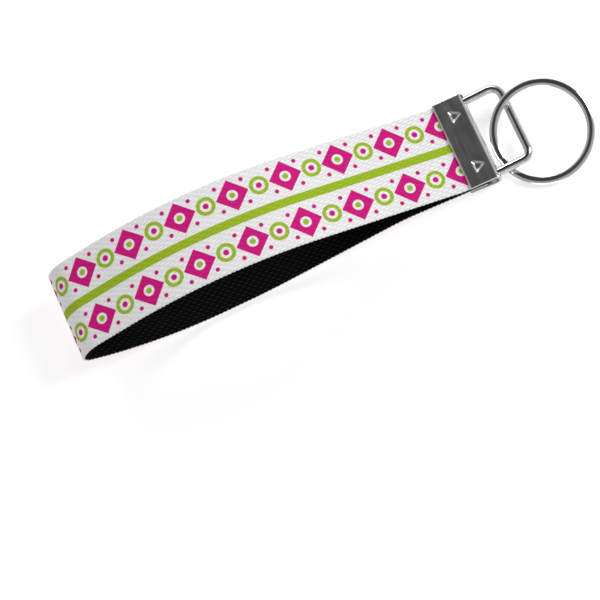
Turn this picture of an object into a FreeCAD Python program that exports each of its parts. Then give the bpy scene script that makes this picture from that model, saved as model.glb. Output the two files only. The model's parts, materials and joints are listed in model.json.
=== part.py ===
"""Wristlet keychain: a folded webbing loop, a crimped end clamp, a wire loop and a split ring.

Millimetres, Z up. The keychain lies on a table: +X runs from the fold of the webbing
to the split ring, Y is across the webbing, and the origin is the bottom centre of the
whole object. Each piece is written to parts/NODE.step.
"""
import FreeCAD, Part
import math
import os

V = FreeCAD.Vector
ORIGIN = V(0, 0, 0)
ALONG_X = V(1, 0, 0)
ALONG_Y = V(0, 1, 0)
ALONG_Z = V(0, 0, 1)

# Webbing: a printed face ply laid on a black backing ply, folded once
WEBBING_WIDTH = 25.4
PLY_THICKNESS = 0.55
STACK_GAP = 0.10          # between the two webs where the clamp holds them

# Clamp: one stamped sheet folded round the wire loop, in its own frame
# (fold wall at x = 0, mouth towards -X, mid-plane at z = 0)
CLAMP_LENGTH = 9.0
CLAMP_WIDTH = 26.0
SHEET = 0.8
MOUTH_HEIGHT = 2 * (STACK_GAP / 2 + 2 * PLY_THICKNESS + SHEET)
FOLD_HEIGHT = 5.0
FOLD_BEND = 1.5           # outer radius of the two fold corners
GRIP_DEPTH = 5.1          # how far the webbing reaches into the clamp
MOUTH_ROUND = 0.75
END_ROUND = 0.3
TOOTH_COUNT = 10
TOOTH_WIDTH = 1.0
TOOTH_LENGTH = 0.7
TOOTH_BITE = 0.35
TOOTH_TIP = 0.2           # the tip's place behind the tooth's front face
DIMPLE_SIDE = 4.1
DIMPLE_DEPTH = 0.34
DIMPLE_SPREAD = 15.4      # between the two dimples of a face
DIMPLE_X = -4.6
DIMPLE_TAPER = 5.6        # how much the side shrinks for each millimetre of depth
DIMPLE_ROUND = 0.5        # corner radii at the rim and at the floor
FLOOR_ROUND = 0.3
BUMP_SIDE = 3.4           # the dimple's back, which presses on the webbing
BUMP_HEIGHT = 0.28
OVERLAP = 0.1             # how far an added feature reaches into the sheet
OVERSHOOT = 0.2           # how far a cutting shape stands above the surface

# Wire loop: round wire bent to a rectangle, butt joint hidden in the fold
WIRE = 2.4
LOOP_WIDTH = 24.6
LOOP_REACH = 11.7         # hinge axis to the middle of the far bar
HINGE_INSET = 2.15        # hinge axis behind the fold wall
BACK_BEND = 1.6           # centreline radii of the corners
NEAR_BEND = 2.4
FAR_BEND = 3.3
BUTT_GAP = 0.2
SLOT_PLAY = 0.1
SLOT_WIDTH = WIRE + 3 * SLOT_PLAY
SLOT_HEIGHT = 4.4
SLOT_DEPTH = 1.2

# Split ring: flat wire wound in two turns that lie on each other
RING_OUTER = 28.0
RING_RADIAL = 2.0
TURN_HEIGHT = 0.86
TURN_GAP = 0.05
SHOULDER_IN = 0.10        # shoulder of the crowned face, from the side of the wire
SHOULDER_DROP = 0.25      # and below the top of the crown
JOG_ANGLE = 36.0          # the sector where the wire climbs from one turn to the next
JOG_SECTIONS = 9
JOG_PLACE = 205.0

# How it lies: the clamp leans on the ring, which lies under one arm of the loop
CLAMP_TILT = 6.0          # mouth end up
HINGE_HEIGHT = 3.9
LOOP_TILT = 4.0           # far bar up
RING_CENTRE = V(14.8, -6.35, 0)
RING_TILT = 18.0
RING_LOW_SIDE = 30.0      # from -Y towards -X, where the ring touches the table

# Side view of the webbing: corners of the route between the plies, and their radii.
# x is from the fold wall of the clamp, z from the table.
UPPER_RUN = 1.6           # each web leaves the mouth straight for this far
LOWER_RUN = 19.0
CROWN = V(-76.3, 0, 29.8)
NOSE_TOP = V(-117.4, 0, 18.2)
NOSE_LOW = V(-119.8, 0, 12.3)
BELLY_BACK = V(-100.6, 0, PLY_THICKNESS)
BELLY_FRONT = V(-68.4, 0, PLY_THICKNESS)
UPPER_BEND = 10.0
CROWN_BEND = 87.0
NOSE_TOP_BEND = 8.3
NOSE_LOW_BEND = 2.7
BELLY_BEND = 70.0
LIFT_BEND = 80.0
LOWER_BEND = 30.0

WIRE_RADIUS = WIRE / 2
HINGE = V(-HINGE_INSET, 0, HINGE_HEIGHT)
TURN_PITCH = TURN_HEIGHT + TURN_GAP
RING_RADIUS = (RING_OUTER - RING_RADIAL) / 2
ARM_Y = (LOOP_WIDTH - WIRE) / 2


def round_corner(before, corner, after, radius):
    """Start, middle and end of the arc that rounds one corner of a route."""
    back = (before - corner).normalize()
    onward = (after - corner).normalize()
    half = back.getAngle(onward) / 2
    reach = radius / math.tan(half)
    bisector = (back + onward).normalize()
    middle = corner + bisector * (radius / math.sin(half) - radius)
    return corner + back * reach, middle, corner + onward * reach


def rounded_edges(points, radii, closed=False):
    """Straight runs joined by tangent arcs; a radius of 0 keeps a corner sharp."""
    count = len(points)
    stops = []
    for i, corner in enumerate(points):
        if radii[i]:
            stops.append(round_corner(points[i - 1], corner, points[(i + 1) % count], radii[i]))
        else:
            stops.append((corner, None, corner))
    edges = []
    for i, (arrive, middle, leave) in enumerate(stops):
        if middle:
            edges.append(Part.Arc(arrive, middle, leave).toShape())
        if i + 1 < count or closed:
            target = stops[(i + 1) % count][0]
            if leave.distanceToPoint(target) > 1e-6:
                edges.append(Part.LineSegment(leave, target).toShape())
    return edges


def left_normal(start, end):
    """Unit normal to the left of a run in the XZ plane."""
    run = (end - start).normalize()
    return V(-run.z, 0, run.x)


def shifted_route(points, radii, distance):
    """The same route, moved sideways to its left by a distance."""
    new_points = [points[0] + left_normal(points[0], points[1]) * distance]
    new_radii = [0]
    for i in range(1, len(points) - 1):
        first = left_normal(points[i - 1], points[i])
        second = left_normal(points[i], points[i + 1])
        step = (first + second) * (distance / (1 + first.dot(second)))
        turns_left = first.x * second.z - first.z * second.x > 0
        new_points.append(points[i] + step)
        new_radii.append(radii[i] - distance if turns_left else radii[i] + distance)
    new_points.append(points[-1] + left_normal(points[-2], points[-1]) * distance)
    new_radii.append(0)
    return new_points, new_radii


def strip(points, radii, right, left, width):
    """A sheet that follows a route in the XZ plane, between two sideways distances."""
    right_points, right_radii = shifted_route(points, radii, right)
    left_points, left_radii = shifted_route(points, radii, left)
    edges = rounded_edges(right_points, right_radii)
    edges.append(Part.LineSegment(right_points[-1], left_points[-1]).toShape())
    edges += rounded_edges(left_points, left_radii)
    edges.append(Part.LineSegment(left_points[0], right_points[0]).toShape())
    outline = Part.Wire(Part.__sortEdges__(edges))
    solid = Part.Face(outline).extrude(ALONG_Y * width)
    solid.translate(ALONG_Y * (-width / 2))
    return solid


def at_clamp(shape):
    """Move a piece from the clamp's own frame to where the clamp lies."""
    placed = shape.copy()
    placed.translate(ALONG_X * HINGE_INSET)
    placed.rotate(ORIGIN, ALONG_Y, CLAMP_TILT)
    placed.translate(HINGE)
    return placed


def clamp_point(x, z):
    """A point of the clamp's own frame, where the clamp lies."""
    tilt = math.radians(CLAMP_TILT)
    reach = x + HINGE_INSET
    across = reach * math.cos(tilt) + z * math.sin(tilt)
    up = z * math.cos(tilt) - reach * math.sin(tilt)
    return HINGE + V(across, 0, up)


def webbing_route():
    """Corners and radii of the line between the two plies, from end to end."""
    web_middle = STACK_GAP / 2 + PLY_THICKNESS
    end_x = GRIP_DEPTH - CLAMP_LENGTH
    points = [
        clamp_point(end_x, web_middle),
        clamp_point(-CLAMP_LENGTH - UPPER_RUN, web_middle),
        CROWN,
        NOSE_TOP,
        NOSE_LOW,
        BELLY_BACK,
        BELLY_FRONT,
        clamp_point(-CLAMP_LENGTH - LOWER_RUN, -web_middle),
        clamp_point(end_x, -web_middle),
    ]
    bends = [UPPER_BEND, CROWN_BEND, NOSE_TOP_BEND, NOSE_LOW_BEND, BELLY_BEND, LIFT_BEND, LOWER_BEND]
    return points, [0, *bends, 0]


def make_ply(right, left, clamp):
    """One ply of the webbing, dented where the clamp bites it."""
    points, radii = webbing_route()
    return strip(points, radii, right, left, WEBBING_WIDTH).cut(clamp)


def fold_slope():
    """Angle of the clamp's faces, which open from the mouth to the fold."""
    rise = (FOLD_HEIGHT - MOUTH_HEIGHT) / 2
    return math.degrees(math.atan2(rise, CLAMP_LENGTH - SHEET / 2))


def folded_sheet():
    """The plain folded sheet, with its mouth and end edges eased."""
    mouth = (MOUTH_HEIGHT - SHEET) / 2
    fold = (FOLD_HEIGHT - SHEET) / 2
    bend = FOLD_BEND - SHEET / 2
    wall = -SHEET / 2
    points = [V(-CLAMP_LENGTH, 0, -mouth), V(wall, 0, -fold), V(wall, 0, fold), V(-CLAMP_LENGTH, 0, mouth)]
    sheet = strip(points, [0, bend, bend, 0], -SHEET / 2, SHEET / 2, CLAMP_WIDTH)
    half_width = CLAMP_WIDTH / 2
    mouth_edges = []
    for edge in sheet.Edges:
        box = edge.BoundBox
        if box.XMax < SHEET - CLAMP_LENGTH and box.YLength > half_width and abs(box.Center.z) > mouth:
            mouth_edges.append(edge)
    sheet = sheet.makeFillet(MOUTH_ROUND, mouth_edges)
    end_edges = [edge for edge in sheet.Edges if edge.BoundBox.YLength < 0.01]
    return sheet.makeFillet(END_ROUND, end_edges)


def triangle(side, round_by, z):
    """Rounded triangle with one corner towards the ring."""
    radius = side / math.sqrt(3)
    corners = []
    for i in range(3):
        angle = math.radians(120 * i)
        corners.append(V(radius * math.cos(angle), radius * math.sin(angle), z))
    return Part.Wire(rounded_edges(corners, [round_by] * 3, closed=True))


def dimples(side, depth, level):
    """Tapered triangles for the two dimples of the upper face, downwards from a level."""
    rim = triangle(side, DIMPLE_ROUND, level)
    floor = triangle(side - DIMPLE_TAPER * depth, FLOOR_ROUND, level - depth)
    tool = Part.makeLoft([rim, floor], True)
    tool.rotate(ORIGIN, ALONG_Y, -fold_slope())
    surface = MOUTH_HEIGHT / 2 + (DIMPLE_X + CLAMP_LENGTH) * math.tan(math.radians(fold_slope()))
    pair = []
    for y in (-DIMPLE_SPREAD / 2, DIMPLE_SPREAD / 2):
        copy = tool.copy()
        copy.translate(V(DIMPLE_X, y, surface))
        pair.append(copy)
    return pair


def teeth():
    """Row of teeth along the inside of the upper jaw's mouth."""
    root = MOUTH_HEIGHT / 2 - SHEET + OVERLAP
    tip = MOUTH_HEIGHT / 2 - SHEET - TOOTH_BITE
    start = OVERLAP - CLAMP_LENGTH
    profile = Part.makePolygon([
        V(start, 0, root),
        V(start + TOOTH_LENGTH, 0, root),
        V(start + TOOTH_TIP, 0, tip),
        V(start, 0, root),
    ])
    tooth = Part.Face(profile).extrude(ALONG_Y * TOOTH_WIDTH)
    pitch = (WEBBING_WIDTH - TOOTH_WIDTH) / TOOTH_COUNT
    row = []
    for i in range(TOOTH_COUNT):
        copy = tooth.copy()
        copy.translate(ALONG_Y * (pitch * (i - (TOOTH_COUNT - 1) / 2) - TOOTH_WIDTH / 2))
        row.append(copy)
    return row


def both_jaws(shapes):
    """The upper jaw's features and the same ones turned over for the lower jaw."""
    turned = []
    for shape in shapes:
        copy = shape.copy()
        copy.rotate(ORIGIN, ALONG_X, 180)
        turned.append(copy)
    return shapes + turned


def arm_slots():
    """Openings in the fold wall where the arms of the wire loop come out."""
    slots = []
    for side in (-1, 1):
        slot = Part.makeBox(2 * SLOT_DEPTH, SLOT_WIDTH, SLOT_HEIGHT)
        middle = side * (ARM_Y - SLOT_PLAY / 2)
        slot.translate(V(-SLOT_DEPTH, middle - SLOT_WIDTH / 2, -SLOT_HEIGHT / 2))
        slots.append(slot)
    return slots


def make_clamp():
    """The stamped clamp: folded sheet, teeth, dimples and arm slots."""
    bumps = dimples(BUMP_SIDE, BUMP_HEIGHT + OVERLAP, OVERLAP - SHEET)
    hollows = dimples(DIMPLE_SIDE + DIMPLE_TAPER * OVERSHOOT, DIMPLE_DEPTH + OVERSHOOT, OVERSHOOT)
    body = folded_sheet().fuse(both_jaws(teeth() + bumps))
    body = body.cut(both_jaws(hollows))
    return at_clamp(body.cut(arm_slots()).removeSplitter())


def at_loop(shape):
    """Move a piece from the loop's own frame (hinge at the origin) to where it lies."""
    placed = shape.copy()
    placed.rotate(ORIGIN, ALONG_Y, -LOOP_TILT)
    placed.translate(HINGE)
    return placed


def make_wire_loop():
    """The bent wire, from one side of its butt joint round to the other."""
    points = [
        V(0, BUTT_GAP / 2, 0),
        V(0, ARM_Y, 0),
        V(LOOP_REACH, ARM_Y, 0),
        V(LOOP_REACH, -ARM_Y, 0),
        V(0, -ARM_Y, 0),
        V(0, -BUTT_GAP / 2, 0),
    ]
    radii = [0, BACK_BEND, FAR_BEND, NEAR_BEND, BACK_BEND, 0]
    route = Part.Wire(rounded_edges(points, radii))
    section = Part.Wire(Part.makeCircle(WIRE_RADIUS, points[0], ALONG_Y))
    return at_loop(route.makePipeShell([section], True, False))


def turn_section(angle, height):
    """Crowned section of the flat wire at one angle round the ring: four arcs."""
    half_radial = RING_RADIAL / 2
    half_height = TURN_HEIGHT / 2
    shoulder_x = half_radial - SHOULDER_IN
    shoulder_z = half_height - SHOULDER_DROP
    middle = V(RING_RADIUS, 0, height)
    shoulders = [
        middle + V(-shoulder_x, 0, -shoulder_z),
        middle + V(shoulder_x, 0, -shoulder_z),
        middle + V(shoulder_x, 0, shoulder_z),
        middle + V(-shoulder_x, 0, shoulder_z),
    ]
    crests = [
        middle + V(0, 0, -half_height),
        middle + V(half_radial, 0, 0),
        middle + V(0, 0, half_height),
        middle + V(-half_radial, 0, 0),
    ]
    edges = []
    for i in range(4):
        edges.append(Part.Arc(shoulders[i], crests[i], shoulders[(i + 1) % 4]).toShape())
    wire = Part.Wire(edges)
    wire.rotate(ORIGIN, ALONG_Z, angle)
    return wire


def make_split_ring():
    """Lower turn, the climb between the turns, and upper turn, as one piece."""
    sweep = 360 - JOG_ANGLE
    half_pitch = TURN_PITCH / 2
    lower = Part.Face(turn_section(JOG_ANGLE, -half_pitch)).revolve(ORIGIN, ALONG_Z, sweep)
    upper = Part.Face(turn_section(JOG_ANGLE, half_pitch)).revolve(ORIGIN, ALONG_Z, sweep)
    sections = []
    for i in range(JOG_SECTIONS):
        share = i / (JOG_SECTIONS - 1)
        height = -half_pitch * math.cos(math.pi * share)
        sections.append(turn_section(JOG_ANGLE * share, height))
    climb = Part.makeLoft(sections, True)
    ring = lower.fuse([climb, upper]).removeSplitter()
    ring.rotate(ORIGIN, ALONG_Z, JOG_PLACE - JOG_ANGLE / 2)
    low_side = math.radians(RING_LOW_SIDE)
    ring.rotate(ORIGIN, V(math.cos(low_side), -math.sin(low_side), 0), RING_TILT)
    ring.translate(RING_CENTRE)
    ring.translate(ALONG_Z * -ring.optimalBoundingBox(False).ZMin)
    return ring


def main():
    clamp = make_clamp()
    pieces = {
        "webbing_print_ply": make_ply(-PLY_THICKNESS, 0, clamp),
        "webbing_black_ply": make_ply(0, PLY_THICKNESS, clamp),
        "clamp": clamp,
        "wire_loop": make_wire_loop(),
        "split_ring": make_split_ring(),
    }
    box = Part.makeCompound(list(pieces.values())).optimalBoundingBox(False)
    to_origin = V(-box.Center.x, -box.Center.y, -box.ZMin)
    os.makedirs("parts", exist_ok=True)
    for name, shape in pieces.items():
        shape.translate(to_origin)
        shape.exportStep("parts/" + name + ".step")
        print(name, "solids", len(shape.Solids), "valid", shape.isValid(), "volume", round(shape.Volume, 1))
    bar = HINGE + V(math.cos(math.radians(LOOP_TILT)), 0, math.sin(math.radians(LOOP_TILT))) * LOOP_REACH
    print("size", [round(v, 2) for v in (box.XLength, box.YLength, box.ZLength)])
    print("loop hinge", [round(v, 3) for v in HINGE + to_origin])
    print("ring hinge", [round(v, 3) for v in bar + to_origin])
    print("shift", [round(v, 3) for v in to_origin])


main()
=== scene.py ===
"""Wristlet keychain: looks for a printed webbing loop, its clamp, wire loop and split ring.

Metres, Z up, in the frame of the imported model. The two plies of webbing are built here as
woven sheets along the CAD route; the metal pieces keep their CAD shape and get a finish.
Patterns on the webbing are worked out in millimetres along and across the strap.
"""
import json
import math

import bpy
import numpy as np
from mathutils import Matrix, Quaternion, Vector


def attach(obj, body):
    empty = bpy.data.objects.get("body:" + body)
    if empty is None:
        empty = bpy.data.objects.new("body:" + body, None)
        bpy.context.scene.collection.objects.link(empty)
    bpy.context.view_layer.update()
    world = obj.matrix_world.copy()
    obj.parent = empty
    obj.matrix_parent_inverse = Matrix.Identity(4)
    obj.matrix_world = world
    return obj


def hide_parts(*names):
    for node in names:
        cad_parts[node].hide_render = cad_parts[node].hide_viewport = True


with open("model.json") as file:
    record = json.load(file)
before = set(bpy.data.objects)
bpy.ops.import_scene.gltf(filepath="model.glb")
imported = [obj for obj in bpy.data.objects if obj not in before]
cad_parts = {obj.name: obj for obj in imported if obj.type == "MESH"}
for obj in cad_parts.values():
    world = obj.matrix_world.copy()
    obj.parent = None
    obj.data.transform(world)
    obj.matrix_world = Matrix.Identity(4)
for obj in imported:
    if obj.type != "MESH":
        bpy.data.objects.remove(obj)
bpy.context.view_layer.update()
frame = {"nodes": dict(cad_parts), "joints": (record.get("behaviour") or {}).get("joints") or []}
MM = 0.001

# Webbing route, as in the CAD source: x from the clamp's fold wall, z from the table
WEBBING_WIDTH = 25.4 * MM
PLY_THICKNESS = 0.55 * MM
STACK_GAP = 0.10 * MM
CLAMP_LENGTH = 9.0 * MM
GRIP_DEPTH = 5.1 * MM
HINGE_INSET = 2.15 * MM
CLAMP_TILT = math.radians(6.0)
UPPER_RUN = 1.6 * MM
LOWER_RUN = 19.0 * MM
CROWN = (-76.3 * MM, 29.8 * MM)
NOSE_TOP = (-117.4 * MM, 18.2 * MM)
NOSE_LOW = (-119.8 * MM, 12.3 * MM)
BELLY_BACK = (-100.6 * MM, PLY_THICKNESS)
BELLY_FRONT = (-68.4 * MM, PLY_THICKNESS)
BEND_RADII = np.array([10.0, 87.0, 8.3, 2.7, 70.0, 80.0, 30.0]) * MM

# Weave of the webbing: rows of slanted floats
ROW_PITCH = 0.80
FLOAT_PITCH = 2.10
ROW_SLANT = 0.18
FLOAT_SHARE = 0.55        # of the relief; the ridge along each row has the rest
WEAVE_RELIEF = 0.05 * MM
STATION_STEP = 0.40 * MM
STRIPS_PER_ROW = 4
SELVEDGE_BULGE = 0.10 * MM
PLY_PLAY = 0.015 * MM
RELEASE_LENGTH = 3.0 * MM # from the clamp's grip to where the weave has its full height
GRIP_SQUEEZE = 0.03 * MM
FACE_SHARE = 0.975        # of the half width; the round of the selvedge has the rest
SCALLOP_SHARE = 0.98      # of the half width, beyond which the edge is scalloped
SCALLOP_PITCH = 1.5 * ROW_PITCH

# Print on the webbing, in millimetres: plain diamonds, rings and dots beside a stripe
REPEAT = 15.0
ROW_OFFSET = 7.0          # from the stripe's middle to each row of diamonds and rings
STRIPE_HALF = 1.2
DIAMOND_REACH = 4.6
DIAMOND_EYE = 1.5
EYE_DOT = 0.8
RING_RADIUS = 2.1
RING_HALF = 0.5
RING_DOT = 0.8
SMALL_DOT = 0.6
SMALL_DOT_OFFSET = 3.4    # from a row's middle to the small dots on each side of it
INK_EDGE = 0.10
INK_DEPTH = 0.42          # the print stops short of the ply's cut edge
FOLD_DISTANCE = 115.5     # from the clamp to the far fold

PINK = (0.60, 0.008, 0.205, 1)
LIME = (0.33, 0.475, 0.020, 1)
WHITE_YARN = (0.83, 0.82, 0.82, 1)
BLACK_YARN = (0.002, 0.002, 0.002, 1)
# painted sheen: a lighter black painted on the tops of the floats
SHEEN_BLACK = (0.075, 0.075, 0.078, 1)

# Painted shade on the printed ply: darker between its yarns, plus random tone in streaks along them,
# less so towards the fold
WEAVE_SHADE = 0.7
YARN_SHADE = 0.6
SHADE_SLOPE = -1.1
SHADE_START = 0.95
SHADE_SHARE = 0.50
SHADE_LOSS = 0.0025       # of that share, for each millimetre from the clamp
PRINT_BUMP = 0.12 * MM

# Painted sheen on the black ply: its floats are painted lighter
WEAVE_LIFT = 0.8
YARN_LIFT = 0.4
LIFT_CUT = 0.2
LIFT_POWER = 5.0
BLACK_BUMP = 0.20 * MM

# Plated metal: clouds in its tone, and scratches
CLOUD_SCALE = 260.0
SCRATCH_SCALE = 900.0
SCRATCH_POLISH = 0.12
CLOUD_POLISH = 0.06
POLISH_MIDDLE = 0.09      # taken off the roughness, which the two above add back
SCRATCH_DEPTH = 0.004 * MM

# Metal of each CAD node: name, darkest and lightest tone, roughness, stretch of the scratches
METALS = {
    "clamp": ("clamp_metal", (0.50, 0.50, 0.505, 1), (0.62, 0.62, 0.625, 1), 0.24, (1.0, 0.1, 1.0)),
    "wire_loop": ("loop_metal", (0.54, 0.54, 0.55, 1), (0.64, 0.64, 0.65, 1), 0.13, (1, 1, 1)),
    "split_ring": ("ring_metal", (0.62, 0.62, 0.63, 1), (0.74, 0.74, 0.75, 1), 0.12, (1, 1, 1)),
}

# Stage: floor, studio tent and lights, each light with its place, size and power
FLOOR_HALF = 3.0
FLOOR_TONE = (0.58, 0.58, 0.58, 1)
FLOOR_GLOW = 0.58
OPENING_AXIS = (0.0, 0.10, 0.99)
OPENING_EDGE = (0.72, 0.90)
WALL_LIGHT = 0.52
OPENING_LIGHT = 0.06
LIGHTS = {
    "key": ((1.0, -0.05, 0.75), (0.5, 0.8), 10.5),
    "back": ((0.0, 1.15, 0.8), (0.9, 0.4), 8),
    "near strip": ((-0.45, -1.1, 0.45), (0.9, 0.12), 1.2),
}

# Camera
TARGET_FROM_HINGE = Vector((-0.05956, -0.02018, 0.0011))
DISTANCE = 0.8952
AZIMUTH = math.radians(7.84)
ELEVATION = math.radians(70.46)
ROLL = math.radians(-32.60)
LENS = 204.05

hinge = Vector(next(j["pos_m"] for j in frame["joints"] if j["name"] == "loop_swing"))
target = hinge + TARGET_FROM_HINGE
strap_y = hinge.y


# ---------------------------------------------------------------- webbing shape

def clamp_point(x, z):
    """Where a point of the clamp's own frame lies, as (x, z)."""
    reach = x + HINGE_INSET
    across = reach * math.cos(CLAMP_TILT) + z * math.sin(CLAMP_TILT)
    up = z * math.cos(CLAMP_TILT) - reach * math.sin(CLAMP_TILT)
    return hinge.x + across, hinge.z + up


def from_fold_wall(point):
    """A route point, given from the clamp's fold wall, in the row frame."""
    return hinge.x + HINGE_INSET + point[0], point[1]


def webbing_corners():
    """Corners of the line between the two plies, from end to end."""
    web_middle = STACK_GAP / 2 + PLY_THICKNESS
    end_x = GRIP_DEPTH - CLAMP_LENGTH
    return np.array([
        clamp_point(end_x, web_middle),
        clamp_point(-CLAMP_LENGTH - UPPER_RUN, web_middle),
        from_fold_wall(CROWN),
        from_fold_wall(NOSE_TOP),
        from_fold_wall(NOSE_LOW),
        from_fold_wall(BELLY_BACK),
        from_fold_wall(BELLY_FRONT),
        clamp_point(-CLAMP_LENGTH - LOWER_RUN, -web_middle),
        clamp_point(end_x, -web_middle),
    ])


def follow_route():
    """Distance, position and heading at even stations along the webbing's route."""
    corners = webbing_corners()
    legs = np.diff(corners, axis=0)
    lengths = np.hypot(legs[:, 0], legs[:, 1])
    headings = np.unwrap(np.arctan2(legs[:, 1], legs[:, 0]))
    turns = np.diff(headings)
    cuts = np.array([0, *(BEND_RADII * np.tan(np.abs(turns) / 2)), 0])
    knots = [0.0]
    knot_headings = [headings[0]]
    for i, leg_length in enumerate(lengths):
        knots.append(knots[-1] + leg_length - cuts[i] - cuts[i + 1])
        knot_headings.append(headings[i])
        if i < len(turns):
            knots.append(knots[-1] + BEND_RADII[i] * abs(turns[i]))
            knot_headings.append(headings[i + 1])
    count = round(knots[-1] / STATION_STEP)
    distance = np.linspace(0, knots[-1], count + 1)
    middle = (distance[1:] + distance[:-1]) / 2
    middle_heading = np.interp(middle, knots, knot_headings)
    steps = np.stack([np.cos(middle_heading), np.sin(middle_heading)], 1) * distance[1]
    position = corners[0] + np.vstack([[0, 0], np.cumsum(steps, axis=0)])
    return distance, position, np.interp(distance, knots, knot_headings)


def weave_height(along, across):
    """Relief of the weave, from -1 to 1, at millimetres along and across the strap."""
    rows = math.pi * (across + ROW_SLANT * along) / ROW_PITCH
    floats = np.cos(rows) * np.cos(2 * math.pi * along / FLOAT_PITCH)
    return floats * FLOAT_SHARE + np.cos(2 * rows) * (1 - FLOAT_SHARE)


def ease(value, start, end):
    """0 before start, 1 after end, smooth between."""
    share = np.clip((value - start) / (end - start), 0, 1)
    return share * share * (3 - 2 * share)


def ply_profile():
    """Corners of one ply's section: share of the half width, depth share, and whether woven."""
    strips = round(WEBBING_WIDTH / MM / ROW_PITCH * STRIPS_PER_ROW)
    face = [(y, 1.0, 1.0) for y in np.linspace(-FACE_SHARE, FACE_SHARE, strips)]
    rim = [(0.992, 0.86, 0.3), (1.0, 0.5, 0.0), (0.992, 0.14, 0.0)]
    back = [(y, 0.0, 0.0) for y in np.linspace(FACE_SHARE, -FACE_SHARE, 8)]
    other_rim = [(-y, depth, woven) for y, depth, woven in reversed(rim)]
    return np.array(face + rim + back + other_rim)


def ply_surface(side):
    """Stations of one ply's section, and each point's place in the cloth in millimetres."""
    distance, position, heading = follow_route()
    profile = ply_profile()
    outward = np.stack([np.sin(heading), -np.cos(heading)], 1)
    from_clamp = np.minimum(distance, distance[-1] - distance)
    free = ease(from_clamp, GRIP_DEPTH, GRIP_DEPTH + RELEASE_LENGTH)[:, None]
    along = (distance[:, None] - GRIP_DEPTH) / MM * np.ones(len(profile))
    across = profile[:, 0] * WEBBING_WIDTH / 2 * np.ones((len(distance), 1))
    relief = weave_height(along, across / MM) * WEAVE_RELIEF * profile[:, 2] * free
    scallop = np.sin(2 * math.pi * along / SCALLOP_PITCH) * SELVEDGE_BULGE * (1 - profile[:, 2])
    across += np.sign(profile[:, 0]) * scallop * (np.abs(profile[:, 0]) > SCALLOP_SHARE) * free
    depth = PLY_PLAY + profile[:, 1] * (PLY_THICKNESS - PLY_PLAY) + relief
    depth -= profile[:, 1] * (1 - free) * GRIP_SQUEEZE
    x = position[:, 0, None] + side * outward[:, 0, None] * depth
    z = position[:, 1, None] + side * outward[:, 1, None] * depth
    along_surface = along + side * depth / MM * (heading - heading[0])[:, None]
    points = np.stack([x, strap_y + across, z], 2)
    return points, np.stack([along_surface, across / MM, depth / MM], 2)


def tube_faces(stations, sides, side):
    """Faces that join the sections of a tube, and a cap on each end."""
    start = (np.arange(stations - 1) * sides)[:, None]
    here = np.arange(sides)
    beside = (here + 1) % sides
    quads = np.stack([start + here, start + beside, start + sides + beside, start + sides + here], 2)
    faces = quads.reshape(-1, 4)[:, ::side]
    last = (stations - 1) * sides
    first_cap = list(range(sides))
    last_cap = [last + i for i in range(sides)]
    return faces.tolist() + [first_cap[::-side], last_cap[::side]]


def make_ply(name, side):
    """One ply as a closed sheet; side is 1 for the printed outer ply and -1 for the inner one."""
    points, cloth = ply_surface(side)
    stations, sides, _ = points.shape
    mesh = bpy.data.meshes.new(name)
    mesh.from_pydata(points.reshape(-1, 3).tolist(), [], tube_faces(stations, sides, side))
    mesh.attributes.new("cloth", "FLOAT_VECTOR", "POINT").data.foreach_set("vector", cloth.ravel())
    mesh.polygons.foreach_set("use_smooth", [True] * len(mesh.polygons))
    mesh.validate()
    mesh.update()
    ply = bpy.data.objects.new(name, mesh)
    bpy.context.scene.collection.objects.link(ply)
    return ply


# ---------------------------------------------------------------- material fields

class Field:
    """A number that varies over a surface; arithmetic on it adds math nodes."""

    def __init__(self, tree, socket):
        self.tree = tree
        self.socket = socket

    def apply(self, operation, *others, clamp=False):
        return combine(self.tree, operation, self, *others, clamp=clamp)

    def __add__(self, other):
        return self.apply("ADD", other)

    def __sub__(self, other):
        return self.apply("SUBTRACT", other)

    def __rsub__(self, other):
        return combine(self.tree, "SUBTRACT", other, self)

    def __mul__(self, other):
        return self.apply("MULTIPLY", other)

    def either(self, other):
        return self.apply("MAXIMUM", other)

    def both(self, other):
        return self.apply("MINIMUM", other)

    def size(self):
        return self.apply("ABSOLUTE")

    def cosine(self):
        return self.apply("COSINE")


def combine(tree, operation, *values, clamp=False):
    """One math node on fields or plain numbers."""
    node = tree.nodes.new("ShaderNodeMath")
    node.operation = operation
    node.use_clamp = clamp
    for place, value in enumerate(values):
        if isinstance(value, Field):
            tree.links.new(value.socket, node.inputs[place])
        else:
            node.inputs[place].default_value = value
    return Field(tree, node.outputs[0])


def length(x, y):
    """Distance of (x, y) from the centre."""
    return (x * x + y * y).apply("SQRT")


def ripple(value, period):
    """Distance to the nearest multiple of a period."""
    return value.apply("PINGPONG", period / 2)


def inside(distance):
    """1 where the distance is below zero, with a soft edge."""
    return distance.apply("MULTIPLY_ADD", -1 / INK_EDGE, 0.5, clamp=True)


def outside(distance):
    """1 where the distance is above zero, with a soft edge."""
    return distance.apply("MULTIPLY_ADD", 1 / INK_EDGE, 0.5, clamp=True)


def dot(x, y, radius):
    """Round dot."""
    return inside(length(x, y) - radius)


def diamond(x, y):
    """Diamond with a round eye left open."""
    return inside(x + y - DIAMOND_REACH).both(outside(length(x, y) - DIAMOND_EYE))


def ring(x, y):
    """Plain round band."""
    return inside((length(x, y) - RING_RADIUS).size() - RING_HALF)


def print_pattern(along, across):
    """Masks of the print over the whole strap: pink and lime."""
    from_middle = across.size()
    from_row = (from_middle - ROW_OFFSET).size()
    from_diamond = ripple(along, REPEAT)
    from_ring = REPEAT / 2 - from_diamond
    from_quarter = ripple(along + REPEAT / 4, REPEAT / 2)
    from_small_row = (from_row - SMALL_DOT_OFFSET).size()
    pink = diamond(from_diamond, from_row).either(dot(from_ring, from_row, RING_DOT))
    pink = pink.either(dot(from_quarter, from_small_row, SMALL_DOT))
    lime = ring(from_ring, from_row).either(dot(from_diamond, from_row, EYE_DOT))
    return pink, lime.either(inside(from_middle - STRIPE_HALF))


# ---------------------------------------------------------------- materials

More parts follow.
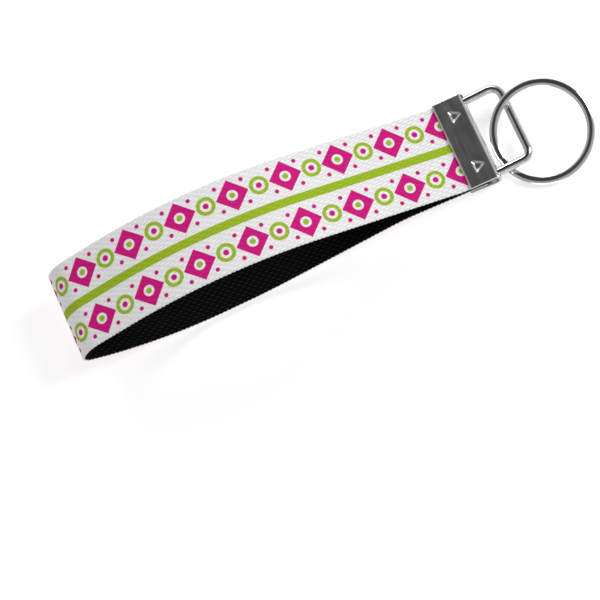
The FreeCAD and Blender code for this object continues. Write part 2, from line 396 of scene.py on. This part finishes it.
def new_material(name):
    """A material, its node tree and its Principled shader."""
    material = bpy.data.materials.new(name)
    material.use_nodes = True
    return material, material.node_tree, material.node_tree.nodes["Principled BSDF"]


def over(tree, base, colour, mask):
    """A colour laid on another where the mask is 1."""
    node = tree.nodes.new("ShaderNodeMix")
    node.data_type = "RGBA"
    tree.links.new(mask.socket, node.inputs[0])
    for place, value in ((6, base), (7, colour)):
        if isinstance(value, tuple):
            node.inputs[place].default_value = value
        else:
            tree.links.new(value, node.inputs[place])
    return node.outputs[2]


def darker(tree, colour, share):
    """A colour with a share of its light taken away."""
    node = tree.nodes.new("ShaderNodeHueSaturation")
    tree.links.new((1.0 - share).socket, node.inputs["Value"])
    tree.links.new(colour, node.inputs["Color"])
    return node.outputs[0]


def noise(tree, vector, scale, detail=3.0):
    """A noise field over a vector socket."""
    node = tree.nodes.new("ShaderNodeTexNoise")
    node.inputs["Scale"].default_value = scale
    node.inputs["Detail"].default_value = detail
    tree.links.new(vector, node.inputs["Vector"])
    return Field(tree, node.outputs[0])


def stretched(tree, vector, scale):
    """A vector scaled along each axis."""
    node = tree.nodes.new("ShaderNodeMapping")
    node.inputs["Scale"].default_value = scale
    tree.links.new(vector, node.inputs["Vector"])
    return node.outputs[0]


def bump(tree, shader, height, distance, strength=1.0):
    """Relief on the shader's normal, a distance in metres deep."""
    node = tree.nodes.new("ShaderNodeBump")
    node.inputs["Distance"].default_value = distance
    node.inputs["Strength"].default_value = strength
    tree.links.new(height.socket, node.inputs["Height"])
    tree.links.new(node.outputs[0], shader.inputs["Normal"])


def cloth_fields(tree):
    """Millimetres along, across and deep in the cloth, and its weave and yarn from 0 to 1."""
    attribute = tree.nodes.new("ShaderNodeAttribute")
    attribute.attribute_name = "cloth"
    parts = tree.nodes.new("ShaderNodeSeparateXYZ")
    tree.links.new(attribute.outputs["Vector"], parts.inputs[0])
    along = Field(tree, parts.outputs[0])
    across = Field(tree, parts.outputs[1])
    rows = (across + along * ROW_SLANT) * (math.pi / ROW_PITCH)
    floats = rows.cosine() * (along * (2 * math.pi / FLOAT_PITCH)).cosine()
    weave = (floats * FLOAT_SHARE + (rows * 2).cosine() * (1 - FLOAT_SHARE)) * 0.5 + 0.5
    depth = Field(tree, parts.outputs[2])
    yarn = noise(tree, stretched(tree, attribute.outputs["Vector"], (0.9, 5.0, 1.0)), 1.6)
    return along, across, depth, weave, yarn


def print_material():
    """White webbing with a plain geometric print."""
    material, tree, shader = new_material("webbing_print")
    along, across, depth, weave, yarn = cloth_fields(tree)
    reach = ripple(along, 2 * FOLD_DISTANCE)
    pink, lime = print_pattern(along, across)
    inked = outside(depth - INK_DEPTH)
    colour = over(tree, WHITE_YARN, LIME, lime.both(inked))
    colour = over(tree, colour, PINK, pink.both(inked))
    # painted shade: the colour is darkened between the yarns, with random yarn tone mixed in, and
    # fades towards the fold
    shade = (weave * WEAVE_SHADE + yarn * YARN_SHADE)
    shade = shade.apply("MULTIPLY_ADD", SHADE_SLOPE, SHADE_START, clamp=True)
    colour = darker(tree, colour, shade * (SHADE_SHARE - reach * SHADE_LOSS))
    tree.links.new(colour, shader.inputs["Base Color"])
    shader.inputs["Roughness"].default_value = 0.75
    shader.inputs["Specular IOR Level"].default_value = 0.10
    bump(tree, shader, weave + yarn * 0.4, PRINT_BUMP, 0.8)
    return material


def black_material():
    """Black webbing with a slight painted sheen on its floats, which are also less rough."""
    material, tree, shader = new_material("webbing_black")
    *_, weave, yarn = cloth_fields(tree)
    # painted sheen: the tops of the floats are painted lighter than the black yarn
    painted_sheen = (weave * WEAVE_LIFT + yarn * YARN_LIFT - LIFT_CUT).apply("POWER", LIFT_POWER, clamp=True)
    colour = over(tree, BLACK_YARN, SHEEN_BLACK, painted_sheen)
    tree.links.new(colour, shader.inputs["Base Color"])
    roughness = 0.75 - weave * 0.25
    tree.links.new(roughness.socket, shader.inputs["Roughness"])
    shader.inputs["Specular IOR Level"].default_value = 0.04
    bump(tree, shader, weave + yarn * 0.5, BLACK_BUMP)
    return material


def metal_material(name, dark, light, roughness, grain):
    """Plated metal: clouded tone, fine scratches and uneven polish."""
    material, tree, shader = new_material(name)
    place = tree.nodes.new("ShaderNodeTexCoord").outputs["Object"]
    cloud = noise(tree, place, CLOUD_SCALE, 4.0)
    scratches = noise(tree, stretched(tree, place, grain), SCRATCH_SCALE, 6.0)
    tree.links.new(over(tree, dark, light, cloud), shader.inputs["Base Color"])
    shader.inputs["Metallic"].default_value = 1.0
    polish = scratches * SCRATCH_POLISH + cloud * CLOUD_POLISH + (roughness - POLISH_MIDDLE)
    tree.links.new(polish.socket, shader.inputs["Roughness"])
    bump(tree, shader, scratches, SCRATCH_DEPTH, 0.5)
    return material


def finish_node(name, material):
    """Give a CAD node its material."""
    node = frame["nodes"][name]
    node.data.materials.clear()
    node.data.materials.append(material)


# ---------------------------------------------------------------- stage

def soft_light(name, place, size, energy):
    """A rectangular softbox that faces the object."""
    light = bpy.data.lights.new(name, "AREA")
    light.shape = "RECTANGLE"
    light.size = size[0]
    light.size_y = size[1]
    light.energy = energy
    lamp = bpy.data.objects.new(name, light)
    lamp.location = place
    lamp.rotation_mode = "QUATERNION"
    lamp.rotation_quaternion = (target - Vector(place)).to_track_quat("-Z", "Y")
    bpy.context.scene.collection.objects.link(lamp)


def make_floor():
    """Pale matt table top."""
    half = FLOOR_HALF
    mesh = bpy.data.meshes.new("floor")
    corners = [(-half, -half, 0), (half, -half, 0), (half, half, 0), (-half, half, 0)]
    mesh.from_pydata(corners, [], [(0, 1, 2, 3)])
    floor = bpy.data.objects.new("floor", mesh)
    bpy.context.scene.collection.objects.link(floor)
    material, _, shader = new_material("floor")
    shader.inputs["Base Color"].default_value = FLOOR_TONE
    shader.inputs["Emission Color"].default_value = (1, 1, 1, 1)
    shader.inputs["Emission Strength"].default_value = FLOOR_GLOW
    shader.inputs["Roughness"].default_value = 0.9
    shader.inputs["Specular IOR Level"].default_value = 0.1
    mesh.materials.append(material)


def make_world():
    """Studio tent: a dark opening overhead, which the flat metal mirrors, and pale walls."""
    world = bpy.data.worlds.new("studio")
    world.use_nodes = True
    tree = world.node_tree
    place = tree.nodes.new("ShaderNodeTexCoord")
    tilt = tree.nodes.new("ShaderNodeVectorMath")
    tilt.operation = "DOT_PRODUCT"
    tree.links.new(place.outputs["Generated"], tilt.inputs[0])
    tilt.inputs[1].default_value = OPENING_AXIS
    ramp = tree.nodes.new("ShaderNodeMapRange")
    ramp.interpolation_type = "SMOOTHSTEP"
    ramp.inputs["From Min"].default_value = OPENING_EDGE[0]
    ramp.inputs["From Max"].default_value = OPENING_EDGE[1]
    ramp.inputs["To Min"].default_value = WALL_LIGHT
    ramp.inputs["To Max"].default_value = OPENING_LIGHT
    tree.links.new(tilt.outputs["Value"], ramp.inputs["Value"])
    tree.links.new(ramp.outputs[0], tree.nodes["Background"].inputs["Strength"])
    tree.nodes["Background"].inputs["Color"].default_value = (1, 1, 1, 1)
    bpy.context.scene.world = world


def make_camera():
    """Camera above the near side, turned about its view axis."""
    back = Vector((
        math.sin(AZIMUTH) * math.cos(ELEVATION),
        -math.cos(AZIMUTH) * math.cos(ELEVATION),
        math.sin(ELEVATION),
    ))
    lens = bpy.data.cameras.new("camera")
    lens.lens = LENS
    lens.sensor_width = 36.0
    camera = bpy.data.objects.new("camera", lens)
    camera.location = target + back * DISTANCE
    camera.rotation_mode = "QUATERNION"
    camera.rotation_quaternion = (-back).to_track_quat("-Z", "Y") @ Quaternion((0, 0, 1), ROLL)
    bpy.context.scene.collection.objects.link(camera)
    bpy.context.scene.camera = camera


make_camera()
make_world()
make_floor()
for light_name, (light_place, light_size, power) in LIGHTS.items():
    soft_light(light_name, light_place, light_size, power)
bpy.context.scene.view_settings.view_transform = "Standard"

for node_name, finish in METALS.items():
    finish_node(node_name, metal_material(*finish))

print_ply = make_ply("printed_webbing", 1)
print_ply.data.materials.append(print_material())
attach(print_ply, "strap")
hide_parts("webbing_print_ply")
black_ply = make_ply("black_webbing", -1)
black_ply.data.materials.append(black_material())
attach(black_ply, "strap")
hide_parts("webbing_black_ply")
